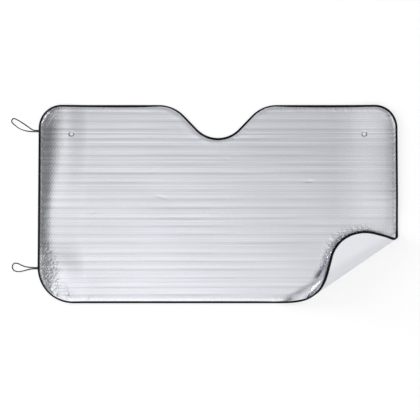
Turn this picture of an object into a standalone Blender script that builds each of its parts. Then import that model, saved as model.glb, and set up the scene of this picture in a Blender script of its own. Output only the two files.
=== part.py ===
"""Folding foil sunshade for a car windscreen, lying silver side up with one lower corner turned over.

The sheet is drawn flat, with its long side along X and its top edge towards +Y. Its lower right corner
is then turned up and over on a cone, as a bubble-foil sheet curls. The origin is at the middle of the
flat sheet, on the surface that it lies on.
"""

import math

import bmesh
import bpy
from mathutils import Vector

# Sheet, in metres. The sides lean in a little towards the top.
BOTTOM_WIDTH = 1.305
TOP_WIDTH = 1.294
SHEET_HEIGHT = 0.716
BOTTOM_CORNER_RADIUS = 0.131
TOP_CORNER_RADIUS = 0.084

# Notch for the rear-view mirror, in the middle of the top edge
NOTCH_DEPTH = 0.119
NOTCH_FLANK_ANGLE = math.radians(46)
NOTCH_SHOULDER_RADIUS = 0.127
NOTCH_FLOOR_RADIUS = 0.105

# Punched holes for the suction cups, in the upper corners
HOLE_DIAMETER = 0.012
HOLE_FROM_SIDE = 0.120
HOLE_FROM_TOP = 0.105

# Laminate: a bubble layer with a white back, and the embossed silver foil on its face
BACKING_THICKNESS = 0.0021
FOIL_THICKNESS = 0.0006
RIB_HEIGHT = 0.0010
RIB_PITCH = 0.0157
GROOVE_FLANK = 0.0044
FAINT_GROOVE_SHARE = 0.55
FIT_GAP = 0.0003

# Binding tape, folded round the edge and sewn down over the pinched laminate
TAPE_THICKNESS = 0.0008
TAPE_COVER = 0.0075
TAPE_CORNER = 0.0012
PINCHED_BACKING = 0.0009
PINCH_RAMP = 0.006

# Turned corner: where the curl starts on the right edge, its slope, and the cone that it follows
CURL_START_HEIGHT = 0.265
CURL_ANGLE = math.radians(30)
CURL_APEX_BEYOND = 0.233
CURL_HALF_ANGLE = math.radians(4)
FLAP_CLEARANCE = 0.032

# Elastic loops on the left edge, which hold the shade rolled up
ELASTIC_WIDTH = 0.004
UPPER_LOOP_FROM_TOP = 0.094
LOWER_LOOP_FROM_BOTTOM = 0.125
NECK_SPACING = 0.0048

# Each route leaves the edge, goes round the loop and comes back: (outwards, upwards) from the exit
UPPER_LOOP_ROUTE = (
    (0.013, 0.0028),
    (0.024, 0.0060),
    (0.036, 0.0148),
    (0.053, 0.0260),
    (0.071, 0.0370),
    (0.086, 0.0448),
    (0.0955, 0.0455),
    (0.1005, 0.0375),
    (0.0965, 0.0280),
    (0.085, 0.0190),
    (0.069, 0.0092),
    (0.049, 0.0015),
    (0.027, -0.0018),
    (0.013, -0.0025),
)
LOWER_LOOP_ROUTE = (
    (0.014, 0.0036),
    (0.028, 0.0047),
    (0.044, 0.0070),
    (0.059, 0.0128),
    (0.073, 0.0188),
    (0.086, 0.0195),
    (0.0945, 0.0130),
    (0.0960, 0.0035),
    (0.0890, -0.0065),
    (0.075, -0.0105),
    (0.060, -0.0098),
    (0.044, -0.0060),
    (0.028, -0.0020),
    (0.014, -0.0018),
)

# Fineness of the faceting
ARC_STEP = math.radians(7.5)
FACET_ANGLE = math.radians(8)
ELASTIC_STEP = 0.007
HOLE_SIDES = 32

# Levels of the layers where the sheet lies flat, up from the surface
BACKING_TOP = BACKING_THICKNESS
FOIL_UNDERSIDE = BACKING_TOP + FIT_GAP
GROOVE_LEVEL = FOIL_UNDERSIDE + FOIL_THICKNESS
CREST_LEVEL = GROOVE_LEVEL + RIB_HEIGHT
PINCHED_UNDERSIDE = TAPE_THICKNESS + FIT_GAP
PINCHED_TOP = PINCHED_UNDERSIDE + PINCHED_BACKING
PINCHED_FOIL_UNDERSIDE = PINCHED_TOP + FIT_GAP
PINCHED_FOIL_TOP = PINCHED_FOIL_UNDERSIDE + FOIL_THICKNESS
TAPE_SLOT_TOP = PINCHED_FOIL_TOP + FIT_GAP
TAPE_TOP = TAPE_SLOT_TOP + TAPE_THICKNESS

LAYER_INSET = TAPE_THICKNESS + FIT_GAP
PINCH_END = TAPE_COVER + FIT_GAP
MID_LEVEL = CREST_LEVEL / 2


def clear_scene():
    for item in list(bpy.data.objects):
        bpy.data.objects.remove(item, do_unlink=True)


def new_collection(name):
    collection = bpy.data.collections.new(name)
    bpy.context.scene.collection.children.link(collection)
    return collection


def new_material(name, colour, roughness, metallic=0.0):
    material = bpy.data.materials.new(name)
    material.use_nodes = True
    shader = material.node_tree.nodes["Principled BSDF"]
    shader.inputs["Base Color"].default_value = (*colour, 1.0)
    shader.inputs["Roughness"].default_value = roughness
    shader.inputs["Metallic"].default_value = metallic
    return material


def edge_half_width(height):
    """Half the sheet's width at a height Y, between its leaning sides."""
    share = height / SHEET_HEIGHT + 0.5
    return (BOTTOM_WIDTH + (TOP_WIDTH - BOTTOM_WIDTH) * share) / 2


def outline_corners():
    """The outline's sharp corners, anticlockwise, each with the radius that rounds it."""
    low = -SHEET_HEIGHT / 2
    high = SHEET_HEIGHT / 2
    rounding = NOTCH_FLOOR_RADIUS * (1 / math.cos(NOTCH_FLANK_ANGLE) - 1)
    sharp_depth = NOTCH_DEPTH + rounding
    shoulder = sharp_depth / math.tan(NOTCH_FLANK_ANGLE)
    return (
        (Vector((-BOTTOM_WIDTH / 2, low)), BOTTOM_CORNER_RADIUS),
        (Vector((BOTTOM_WIDTH / 2, low)), BOTTOM_CORNER_RADIUS),
        (Vector((TOP_WIDTH / 2, high)), TOP_CORNER_RADIUS),
        (Vector((shoulder, high)), NOTCH_SHOULDER_RADIUS),
        (Vector((0, high - sharp_depth)), NOTCH_FLOOR_RADIUS),
        (Vector((-shoulder, high)), NOTCH_SHOULDER_RADIUS),
        (Vector((-TOP_WIDTH / 2, high)), TOP_CORNER_RADIUS),
    )


def outline(inset=0.0):
    """Points of the sheet's rounded outline, anticlockwise, moved inwards by the inset."""
    corners = outline_corners()
    points = []
    for index, (corner, radius) in enumerate(corners):
        before = (corner - corners[index - 1][0]).normalized()
        after = (corners[(index + 1) % len(corners)][0] - corner).normalized()
        turn = math.atan2(before.cross(after), before.dot(after))
        side = math.copysign(1.0, turn)
        left = Vector((-before.y, before.x))
        centre = corner - before * radius * math.tan(abs(turn) / 2) + left * radius * side
        start = math.atan2(-left.y * side, -left.x * side)
        steps = max(2, math.ceil(abs(turn) / ARC_STEP))
        reach = radius - inset * side
        for step in range(steps + 1):
            angle = start + turn * step / steps
            points.append(centre + Vector((math.cos(angle), math.sin(angle))) * reach)
    return points


def distance_inside(point, edge_points):
    """How far a flat point lies from the nearest stretch of a closed outline."""
    nearest = math.inf
    for index, end in enumerate(edge_points):
        start = edge_points[index - 1]
        along = end - start
        share = (point - start).dot(along) / along.length_squared
        share = min(max(share, 0.0), 1.0)
        nearest = min(nearest, (point - start - along * share).length)
    return nearest


class TurnedCorner:
    """The curl of the lower right corner: flat facets round a cone, then the straight flap.

    Every point keeps its place between two neighbouring rulings and its height above the sheet's
    middle level, so layers that are parallel in the flat sheet stay parallel in the curl.
    """

    def __init__(self):
        edge = edge_half_width(CURL_START_HEIGHT - SHEET_HEIGHT / 2)
        rise = CURL_APEX_BEYOND * math.tan(CURL_ANGLE)
        self.apex = Vector((edge + CURL_APEX_BEYOND, CURL_START_HEIGHT - SHEET_HEIGHT / 2 + rise))
        self.along = Vector((-math.cos(CURL_ANGLE), -math.sin(CURL_ANGLE), 0))
        self.across = Vector((math.sin(CURL_ANGLE), -math.cos(CURL_ANGLE), 0))
        self.set_wrap(self.wrap_for_clearance())

    def set_wrap(self, wrap):
        count = max(3, math.ceil(wrap / FACET_ANGLE))
        self.turns = [wrap * step / count for step in range(count + 1)]
        self.spreads = [turn * math.sin(CURL_HALF_ANGLE) for turn in self.turns]
        self.rulings = [self.cone_ruling(turn) for turn in self.turns]
        last = self.turns[-1]
        self.flap_side = self.across * math.cos(last) - self.cone_up() * math.sin(last)
        self.normals = [Vector((0, 0, 1))]
        for first, second in zip(self.rulings, self.rulings[1:]):
            self.normals.append(first.cross(second).normalized())
        self.normals.append(self.rulings[-1].cross(self.flap_side).normalized())

    def cone_up(self):
        """From the cone's axis down to the sheet, square to the axis."""
        return self.along * math.sin(CURL_HALF_ANGLE) - Vector((0, 0, math.cos(CURL_HALF_ANGLE)))

    def cone_ruling(self, turn):
        """The direction of a ruling after the sheet has wrapped by an angle round the cone."""
        axis = self.along * math.cos(CURL_HALF_ANGLE) + Vector((0, 0, math.sin(CURL_HALF_ANGLE)))
        round_axis = self.cone_up() * math.cos(turn) + self.across * math.sin(turn)
        return axis * math.cos(CURL_HALF_ANGLE) + round_axis * math.sin(CURL_HALF_ANGLE)

    def flat_ruling(self, spread):
        return self.along * math.cos(spread) + self.across * math.sin(spread)

    def spread_of(self, point):
        """The angle at the apex between the curl's first ruling and a flat point."""
        offset = Vector((point[0], point[1])) - self.apex
        return math.atan2(offset.dot(self.across.xy), offset.dot(self.along.xy))

    def wrap_for_clearance(self):
        """The wrap that brings the flap's edge down to its clearance over the sheet."""
        edge_points = [point for point in outline() if self.spread_of(point) > 0]
        low, high = math.radians(90), math.radians(270)
        for _ in range(30):
            middle = (low + high) / 2
            self.set_wrap(middle)
            flap = [p for p in edge_points if self.spread_of(p) > self.spreads[-1]]
            heights = [self.place(p.to_3d()).z for p in flap]
            if heights and min(heights) < CREST_LEVEL + FLAP_CLEARANCE:
                high = middle
            else:
                low = middle
        return low

    def facet_of(self, spread):
        facet = 0
        while facet < len(self.spreads) and spread > self.spreads[facet]:
            facet += 1
        return facet

    def normal_at(self, spread):
        """The facet's normal, or on a ruling the mitred normal of the two facets that meet there."""
        for index, ruling in enumerate(self.spreads):
            if abs(spread - ruling) < 1e-5:
                first, second = self.normals[index], self.normals[index + 1]
                return (first + second) / (1 + first.dot(second))
        return self.normals[self.facet_of(spread)]

    def place(self, point):
        """Where a point of the flat sheet lies once the corner is turned over."""
        spread = self.spread_of(point)
        facet = self.facet_of(spread)
        if facet == 0 and abs(spread - self.spreads[0]) >= 1e-5:
            return point.copy()
        reach = (point.xy - self.apex).length
        if facet == len(self.spreads):
            beyond = spread - self.spreads[-1]
            spot = (self.rulings[-1] * math.cos(beyond) + self.flap_side * math.sin(beyond)) * reach
        else:
            facet = max(facet, 1)
            width = self.spreads[facet] - self.spreads[facet - 1]
            second = math.sin(spread - self.spreads[facet - 1]) / math.sin(width) * reach
            first = math.sin(self.spreads[facet] - spread) / math.sin(width) * reach
            spot = self.rulings[facet - 1] * first + self.rulings[facet] * second
        lift = Vector((0, 0, MID_LEVEL)) + self.normal_at(spread) * (point.z - MID_LEVEL)
        return self.apex.to_3d() + spot + lift

    def turn_over(self, mesh):
        """Cuts a flat closed mesh at every ruling, then moves its points into the curl."""
        for spread in self.spreads:
            ruling = self.flat_ruling(spread)
            everything = mesh.verts[:] + mesh.edges[:] + mesh.faces[:]
            square = Vector((-ruling.y, ruling.x, 0))
            bmesh.ops.bisect_plane(
                mesh, geom=everything, dist=1e-6, plane_co=self.apex.to_3d(), plane_no=square
            )
        for vertex in mesh.verts:
            vertex.co = self.place(vertex.co)


def poly_curve(name, points, dimensions="2D", cyclic=True):
    curve = bpy.data.curves.new(name, "CURVE")
    curve.dimensions = dimensions
    spline = curve.splines.new("POLY")
    spline.points.add(len(points) - 1)
    for knot, point in zip(spline.points, points):
        knot.co = (*point.to_3d(), 1.0)
    spline.use_cyclic_u = cyclic
    return bpy.data.objects.new(name, curve)


def mesh_from_curve(item):
    """A welded working mesh of a curve object, which is removed."""
    bpy.context.scene.collection.objects.link(item)
    bpy.context.view_layer.update()
    evaluated = item.evaluated_get(bpy.context.evaluated_depsgraph_get())
    data = bpy.data.meshes.new_from_object(evaluated)
    bpy.data.objects.remove(item, do_unlink=True)
    mesh = bmesh.new()
    mesh.from_mesh(data)
    bpy.data.meshes.remove(data)
    bmesh.ops.remove_doubles(mesh, verts=mesh.verts[:], dist=1e-6)
    return mesh


def finish_mesh(mesh, name, collection, material):
    """Writes a working mesh to a new object of the shade."""
    bmesh.ops.recalc_face_normals(mesh, faces=mesh.faces[:])
    data = bpy.data.meshes.new(name)
    mesh.to_mesh(data)
    mesh.free()
    data.shade_smooth()
    data.set_sharp_from_angle(angle=math.radians(40))
    data.materials.append(material)
    item = bpy.data.objects.new(name, data)
    collection.objects.link(item)
    return item


def flat_plate():
    """The laminate's outline as a flat plate, with two rings inset in each face for the pinched edge."""
    curve = poly_curve("plate", outline(LAYER_INSET))
    curve.data.fill_mode = "BOTH"
    curve.data.extrude = BACKING_THICKNESS / 2
    mesh = mesh_from_curve(curve)
    bmesh.ops.dissolve_limit(mesh, angle_limit=0.001, verts=mesh.verts[:], edges=mesh.edges[:])
    for widths in (PINCH_END - LAYER_INSET, PINCH_RAMP):
        caps = sorted(mesh.faces, key=lambda face: face.calc_area())[-2:]
        bmesh.ops.inset_region(mesh, faces=caps, thickness=widths, use_even_offset=True)
    return mesh


def rib_rise(height):
    """How far the foil's face stands above its groove level at a height Y of the sheet."""
    above_bottom = height + SHEET_HEIGHT / 2
    groove = round(above_bottom / RIB_PITCH)
    depth = RIB_HEIGHT if groove % 2 == 0 else RIB_HEIGHT * FAINT_GROOVE_SHARE
    from_groove = abs(above_bottom - groove * RIB_PITCH)
    return RIB_HEIGHT - depth * max(0.0, 1 - from_groove / GROOVE_FLANK)


def cut_rib_lines(mesh):
    """Cuts the foil's face along its ribs, inside the part that the tape covers."""
    faces = [f for f in mesh.faces if f.calc_center_median().z > 0 and f.normal.z > 0.5]
    edge_points = outline()
    field = []
    for face in faces:
        middle = face.calc_center_median().xy
        if distance_inside(middle, edge_points) > PINCH_END:
            field.append(face)
    for groove in range(math.ceil(SHEET_HEIGHT / RIB_PITCH) + 1):
        for flank in (-GROOVE_FLANK, 0.0, GROOVE_FLANK):
            height = groove * RIB_PITCH + flank - SHEET_HEIGHT / 2
            edges = {edge for face in field for edge in face.edges}
            verts = {vert for face in field for vert in face.verts}
            cut = bmesh.ops.bisect_plane(
                mesh,
                geom=[*verts, *edges, *field],
                dist=1e-6,
                plane_co=(0, height, 0),
                plane_no=(0, 1, 0),
            )
            field = [part for part in cut["geom"] if isinstance(part, bmesh.types.BMFace)]


def set_levels(mesh, underside, face_level, pinched_underside, pinched_face):
    """Gives the plate its section: full in the field, ramped down to the pinched edge."""
    edge_points = outline()
    for vertex in mesh.verts:
        inside = distance_inside(vertex.co.xy, edge_points)
        share = min(max((inside - PINCH_END) / PINCH_RAMP, 0.0), 1.0)
        if vertex.co.z > 0:
            vertex.co.z = pinched_face + (face_level(vertex.co.y) - pinched_face) * share
        else:
            vertex.co.z = pinched_underside + (underside - pinched_underside) * share


def add_hole_cutters(collection):
    """One upright cylinder through each suction-cup hole."""
    height = SHEET_HEIGHT / 2 - HOLE_FROM_TOP
    cutters = []
    for name, side in (("left_hole_cutter", -1), ("right_hole_cutter", 1)):
        place = side * (edge_half_width(height) - HOLE_FROM_SIDE)
        bpy.ops.mesh.primitive_cylinder_add(
            vertices=HOLE_SIDES,
            radius=HOLE_DIAMETER / 2,
            depth=CREST_LEVEL * 4,
            location=(place, height, MID_LEVEL),
        )
        cutter = bpy.context.object
        cutter.name = name
        cutter.display_type = "WIRE"
        cutter.hide_render = True
        for holder in list(cutter.users_collection):
            holder.objects.unlink(cutter)
        collection.objects.link(cutter)
        cutters.append(cutter)
    return cutters


def punch_holes(item, cutters):
    for cutter in cutters:
        hole = item.modifiers.new(cutter.name, "BOOLEAN")
        hole.operation = "DIFFERENCE"
        hole.object = cutter


def add_backing(collection, corner, cutters):
    mesh = flat_plate()
    set_levels(mesh, 0.0, lambda height: BACKING_TOP, PINCHED_UNDERSIDE, PINCHED_TOP)
    corner.turn_over(mesh)
    white = new_material("white_film", (0.80, 0.82, 0.85), 0.45)
    punch_holes(finish_mesh(mesh, "white_backing", collection, white), cutters)


def add_foil(collection, corner, cutters):
    mesh = flat_plate()
    cut_rib_lines(mesh)
    set_levels(
        mesh,
        FOIL_UNDERSIDE,
        lambda height: GROOVE_LEVEL + rib_rise(height),
        PINCHED_FOIL_UNDERSIDE,
        PINCHED_FOIL_TOP,
    )
    corner.turn_over(mesh)
    silver = new_material("silver_film", (0.78, 0.79, 0.81), 0.3, metallic=1.0)
    punch_holes(finish_mesh(mesh, "silver_foil", collection, silver), cutters)


def tape_section():
    """The folded tape's section: how far inside the edge, and how high, anticlockwise."""
    cut = TAPE_CORNER
    return (
        (TAPE_COVER, 0),
        (TAPE_COVER, TAPE_THICKNESS),
        (TAPE_THICKNESS, TAPE_THICKNESS),
        (TAPE_THICKNESS, TAPE_SLOT_TOP),
        (TAPE_COVER, TAPE_SLOT_TOP),
        (TAPE_COVER, TAPE_TOP),
        (cut, TAPE_TOP),
        (0, TAPE_TOP - cut),
        (0, cut),
        (cut, 0),
    )


def add_binding(collection, corner):
    """The tape: its section swept along the whole outline, then turned over with the sheet."""
    section = poly_curve("section", [Vector(spot) for spot in tape_section()])
    path = poly_curve("path", outline())
    path.data.bevel_mode = "OBJECT"
    path.data.bevel_object = section
    bpy.context.scene.collection.objects.link(section)
    mesh = mesh_from_curve(path)
    bpy.data.objects.remove(section, do_unlink=True)
    corner.turn_over(mesh)
    black = new_material("black_tape", (0.012, 0.012, 0.013), 0.75)
    finish_mesh(mesh, "edge_binding", collection, black)


def smooth_route(points):
    """Points at even steps along the smooth curve through the route's own points."""
    fine = []
    ends = [points[0] * 2 - points[1], *points, points[-1] * 2 - points[-2]]
    for a, b, c, d in zip(ends, ends[1:], ends[2:], ends[3:]):
        for step in range(16):
            t = step / 16
            bend = (a * 2 - b * 5 + c * 4 - d) * t * t + (b * 3 - a - c * 3 + d) * t * t * t
            fine.append((b * 2 + (c - a) * t + bend) / 2)
    fine.append(points[-1])
    length = sum((q - p).length for p, q in zip(fine, fine[1:]))
    count = max(2, round(length / ELASTIC_STEP))
    even = [fine[0]]
    travelled = 0.0
    for p, q in zip(fine, fine[1:]):
        span = (q - p).length
        while len(even) < count and travelled + span >= length * len(even) / count:
            even.append(p.lerp(q, (length * len(even) / count - travelled) / span))
        travelled += span
    even.append(fine[-1])
    return even


def left_edge_at(height):
    """The outermost X of the sheet's left edge across both ends of an elastic."""
    reach = NECK_SPACING / 2 + ELASTIC_WIDTH / 2
    points = outline()
    crossings = []
    for start, end in zip(points, points[1:] + points[:1]):
        for level in (height - reach, height, height + reach):
            if (start.y - level) * (end.y - level) < 0:
                crossings.append(start.lerp(end, (level - start.y) / (end.y - start.y)).x)
    return min(crossings)


def add_elastic_loop(name, height, route, collection, material):
    """An elastic whose two ends meet the tape side by side, at a height Y of the left edge."""
    start = Vector((left_edge_at(height) - FIT_GAP, height, ELASTIC_WIDTH / 2))
    half = NECK_SPACING / 2
    offsets = [(0, half), *route, (0, -half)]
    points = [start + Vector((-out, up, 0)) for out, up in offsets]
    item = poly_curve(name, smooth_route(points), dimensions="3D", cyclic=False)
    item.data.bevel_depth = ELASTIC_WIDTH / 2
    item.data.bevel_resolution = 2
    item.data.use_fill_caps = True
    item.data.materials.append(material)
    collection.objects.link(item)


def build():
    clear_scene()
    shade = new_collection("car_sunshade")
    helpers = new_collection("cutters")
    corner = TurnedCorner()
    cutters = add_hole_cutters(helpers)
    add_backing(shade, corner, cutters)
    add_foil(shade, corner, cutters)
    add_binding(shade, corner)
    elastic = new_material("black_elastic", (0.010, 0.010, 0.011), 0.8)
    upper = SHEET_HEIGHT / 2 - UPPER_LOOP_FROM_TOP
    lower = LOWER_LOOP_FROM_BOTTOM - SHEET_HEIGHT / 2
    add_elastic_loop("upper_elastic_loop", upper, UPPER_LOOP_ROUTE, shade, elastic)
    add_elastic_loop("lower_elastic_loop", lower, LOWER_LOOP_ROUTE, shade, elastic)


build()
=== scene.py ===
import math
import random

import bmesh
import bpy
import numpy as np
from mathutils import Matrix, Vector, noise


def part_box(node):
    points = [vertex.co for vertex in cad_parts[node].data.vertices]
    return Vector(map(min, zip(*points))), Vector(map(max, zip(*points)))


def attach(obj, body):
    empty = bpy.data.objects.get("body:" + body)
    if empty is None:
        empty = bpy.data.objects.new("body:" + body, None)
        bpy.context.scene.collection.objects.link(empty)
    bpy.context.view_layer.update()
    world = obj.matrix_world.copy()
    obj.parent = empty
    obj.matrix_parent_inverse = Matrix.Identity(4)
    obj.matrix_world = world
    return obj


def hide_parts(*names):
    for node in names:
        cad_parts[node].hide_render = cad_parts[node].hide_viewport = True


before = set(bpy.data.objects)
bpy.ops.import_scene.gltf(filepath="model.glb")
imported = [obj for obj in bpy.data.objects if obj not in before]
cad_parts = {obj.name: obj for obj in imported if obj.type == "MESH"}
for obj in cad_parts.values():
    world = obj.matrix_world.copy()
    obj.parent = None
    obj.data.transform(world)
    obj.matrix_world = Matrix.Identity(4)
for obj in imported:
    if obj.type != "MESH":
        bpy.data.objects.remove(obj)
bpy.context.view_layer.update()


# Camera. It looks straight down on the shade as it lies, silver side up, from a little over three
# metres, so that a square frame takes in the sheet and both elastic loops at its left end.
FRAME_PIXELS = 420
METRES_PER_PIXEL = 0.003610
FRAME_MIDDLE = (-0.0286, -0.0212)
CAMERA_HEIGHT = 3.26
SENSOR_WIDTH = 36
SHEET_FACE = 0.004

camera = bpy.data.objects.new("camera", bpy.data.cameras.new("camera"))
camera.data.sensor_width = SENSOR_WIDTH
camera.data.lens = SENSOR_WIDTH * (CAMERA_HEIGHT - SHEET_FACE) / (FRAME_PIXELS * METRES_PER_PIXEL)
camera.location = (*FRAME_MIDDLE, CAMERA_HEIGHT)
bpy.context.scene.collection.objects.link(camera)
bpy.context.scene.camera = camera
bpy.context.scene.view_settings.view_transform = "Standard"


# Elastic loops. Each is one length of flat braided elastic, its two ends sewn in side by side at the
# left edge. It lies flat near the edge and round its tip, and leans half onto its edge between.
UPPER_LOOP_HEIGHT = 0.264
LOWER_LOOP_HEIGHT = -0.2314
ELASTIC_WIDTH = 0.004
ELASTIC_THICKNESS = 0.0012
NECK_SPACING = 0.0045
UPPER_FLAT = 0.062
LOWER_FLAT = 0.026
TURN_LENGTH = 0.040
STRAND_LEAN = math.radians(44)
TIP_LEAN = math.radians(2)
TIP_LENGTH = 0.020
ELASTIC_STEP = 0.0015
BRAID_THREADS = 5200.0
BRAID_SLANT = 0.7
BRAID_RELIEF = 0.0003
# Painted shade: the gaps between the threads are painted darker than the thread crowns.
GAP_SHADE_BLACK = (0.0025, 0.0025, 0.0028, 1)
CROWN_BLACK = (0.010, 0.010, 0.011, 1)
UPPER_LOOP_ROUTE = (
    (0.013, 0.0024),
    (0.022, 0.0046),
    (0.036, 0.0140),
    (0.053, 0.0260),
    (0.070, 0.0365),
    (0.083, 0.0437),
    (0.0915, 0.0447),
    (0.0968, 0.0375),
    (0.0935, 0.0285),
    (0.083, 0.0195),
    (0.069, 0.0092),
    (0.049, 0.0015),
    (0.027, -0.0019),
    (0.013, -0.0021),
)
LOWER_LOOP_ROUTE = (
    (0.014, 0.0023),
    (0.028, 0.0032),
    (0.044, 0.0056),
    (0.059, 0.0113),
    (0.071, 0.0168),
    (0.083, 0.0177),
    (0.0900, 0.0114),
    (0.0908, 0.0019),
    (0.0850, -0.0082),
    (0.073, -0.0121),
    (0.060, -0.0114),
    (0.044, -0.0076),
    (0.028, -0.0037),
    (0.014, -0.0022),
)


def ease(share):
    """A smooth run from 0 to 1 as the share goes from 0 to 1."""
    share = np.clip(share, 0, 1)
    return share * share * (3 - 2 * share)


def new_piece(name, points, faces, uv_at):
    """A smooth mesh object with its faces turned outwards, and a UV for each point of each face."""
    data = bpy.data.meshes.new(name)
    data.from_pydata([tuple(point) for point in points], [], faces)
    layer = data.uv_layers.new(name="flat")
    layer.uv.foreach_set("vector", np.array(uv_at, np.float32).ravel())
    data.shade_smooth()
    mesh = bmesh.new()
    mesh.from_mesh(data)
    bmesh.ops.recalc_face_normals(mesh, faces=mesh.faces[:])
    mesh.to_mesh(data)
    mesh.free()
    item = bpy.data.objects.new(name, data)
    bpy.context.scene.collection.objects.link(item)
    return item


def running_length(steps):
    """The length travelled after each of a chain of steps, from 0."""
    return np.concatenate([[0], np.cumsum(np.linalg.norm(steps, axis=1))])


def smooth_route(points, step):
    """Points at even steps along the smooth curve through the route's own points."""
    ends = [points[0] * 2 - points[1], *points, points[-1] * 2 - points[-2]]
    parts = 24
    fine = []
    for a, b, c, d in zip(ends, ends[1:], ends[2:], ends[3:]):
        for t in np.arange(parts) / parts:
            bend = (a * 2 - b * 5 + c * 4 - d) * t * t + (b * 3 - a - c * 3 + d) * t**3
            fine.append((b * 2 + (c - a) * t + bend) / 2)
    fine = np.array([*fine, points[-1]])
    travelled = running_length(np.diff(fine, axis=0))
    even = np.linspace(0, travelled[-1], round(travelled[-1] / step) + 1)
    return np.stack([np.interp(even, travelled, fine[:, axis]) for axis in range(3)], axis=1), even


def swept(path, side, up, section):
    """Points and faces of a section swept along an open path, with UVs (along, round) in metres."""
    rings = path[:, None] + side[:, None] * section[:, 0][None, :, None]
    rings = rings + up[:, None] * section[:, 1][None, :, None]
    rows, columns = rings.shape[:2]
    around = running_length(np.roll(section, -1, axis=0) - section)
    along = running_length(np.diff(path, axis=0))
    faces, uvs = [], []
    for row in range(rows - 1):
        for column in range(columns):
            beside = (column + 1) % columns
            faces.append((row * columns + column, row * columns + beside,
                          (row + 1) * columns + beside, (row + 1) * columns + column))
            uvs += [(along[row], around[column]), (along[row], around[column + 1]),
                    (along[row + 1], around[column + 1]), (along[row + 1], around[column])]
    for end in (0, rows - 1):
        faces.append(tuple(end * columns + column for column in range(columns)))
        uvs += [(along[end], around[column]) for column in range(columns)]
    return rings.reshape(-1, 3), faces, uvs


def new_material(name, colour, roughness, metallic=0.0):
    """A material with its Principled shader, ready for its own nodes."""
    material = bpy.data.materials.new(name)
    material.use_nodes = True
    shader = material.node_tree.nodes["Principled BSDF"]
    shader.inputs["Base Color"].default_value = (*colour, 1.0)
    shader.inputs["Roughness"].default_value = roughness
    shader.inputs["Metallic"].default_value = metallic
    return material, shader


def add_node(tree, kind, values=None, **settings):
    """A node with its settings, and its inputs given as values or as sockets to link."""
    node = tree.nodes.new(kind)
    for name, value in settings.items():
        setattr(node, name, value)
    for name, value in (values or {}).items():
        if isinstance(value, bpy.types.NodeSocket):
            tree.links.new(value, node.inputs[name])
        else:
            node.inputs[name].default_value = value
    return node


def maths(tree, operation, *values):
    node = add_node(tree, "ShaderNodeMath", dict(enumerate(values)), operation=operation)
    return node.outputs[0]


def new_group(name, takes, gives):
    """A node group with named inputs and one output, and the sockets that its own nodes join."""
    tree = bpy.data.node_groups.new(name, "ShaderNodeTree")
    for label, kind in takes.items():
        tree.interface.new_socket(label, in_out="INPUT", socket_type=f"NodeSocket{kind}")
    tree.interface.new_socket(gives, in_out="OUTPUT", socket_type="NodeSocketFloat")
    return tree, tree.nodes.new("NodeGroupInput").outputs, tree.nodes.new("NodeGroupOutput").inputs


def thread_group():
    """Node group: crossing threads of a braid or a weave, from a place in metres along and across."""
    takes = {"Place": "Vector", "Along": "Float", "Across": "Float", "Slant": "Float"}
    tree, taken, given = new_group("crossing_threads", takes, "Threads")
    place = add_node(tree, "ShaderNodeSeparateXYZ", {0: taken["Place"]})
    along = maths(tree, "MULTIPLY", place.outputs[0], taken["Along"])
    across = maths(tree, "MULTIPLY", place.outputs[1], taken["Across"])
    warp_lean = maths(tree, "MULTIPLY", across, taken["Slant"])
    weft_lean = maths(tree, "MULTIPLY", along, taken["Slant"])
    warp = maths(tree, "SINE", maths(tree, "ADD", along, warp_lean))
    weft = maths(tree, "SINE", maths(tree, "SUBTRACT", across, weft_lean))
    crown = maths(tree, "MULTIPLY_ADD", maths(tree, "MULTIPLY", warp, weft), 0.5, 0.5)
    tree.links.new(crown, given["Threads"])
    return tree


def dark_cloth(name, along, across, slant, relief):
    """Black yarn cloth: dull thread crowns over gaps painted darker as shade, and a little lint that
    varies its gloss.
    """
    material, shader = new_material(name, (0.006, 0.006, 0.006), 0.8)
    shader.inputs["Specular IOR Level"].default_value = 0.12
    tree = material.node_tree
    place = add_node(tree, "ShaderNodeUVMap", uv_map="flat").outputs[0]
    threads = add_node(
        tree, "ShaderNodeGroup", {"Place": place, "Along": along, "Across": across, "Slant": slant},
        node_tree=crossing_threads,
    ).outputs[0]
    bump = add_node(tree, "ShaderNodeBump", {"Height": threads, "Strength": 0.8, "Distance": relief})
    tree.links.new(bump.outputs[0], shader.inputs["Normal"])
    # Painted shade: the colour follows the threads' height, so it is darker in the gaps between them.
    shade = add_node(tree, "ShaderNodeValToRGB", {0: threads})
    shade.color_ramp.elements[0].color = GAP_SHADE_BLACK
    shade.color_ramp.elements[1].color = CROWN_BLACK
    tree.links.new(shade.outputs[0], shader.inputs["Base Color"])
    lint = add_node(tree, "ShaderNodeTexNoise", {"Vector": place, "Scale": 260.0, "Detail": 2.0})
    rough = add_node(
        tree, "ShaderNodeMapRange", {"Value": lint.outputs["Fac"], "To Min": 0.66, "To Max": 0.90}
    )
    tree.links.new(rough.outputs[0], shader.inputs["Roughness"])
    return material


def band_section(width, thickness, points=6):
    """A flat band's section: two rounded edges and slightly crowned faces."""
    angles = np.linspace(0, 2 * math.pi, 2 * points, endpoint=False)
    across = np.sign(np.cos(angles)) * np.abs(np.cos(angles)) ** 0.6 * width / 2
    through = np.sign(np.sin(angles)) * np.abs(np.sin(angles)) ** 0.75 * thickness / 2
    return np.stack([across, through], axis=1)


def loop_lean(travelled):
    """How far the band leans onto its edge: it is flat near its ends, longer so above, and at its tip."""
    length = travelled[-1]
    upper = ease((travelled - UPPER_FLAT) / TURN_LENGTH)
    lower = ease((length - travelled - LOWER_FLAT) / TURN_LENGTH)
    at_tip = np.exp(-(((travelled - length / 2) / TIP_LENGTH) ** 2))
    return STRAND_LEAN * upper * lower * (1 - at_tip) + TIP_LEAN * at_tip


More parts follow.
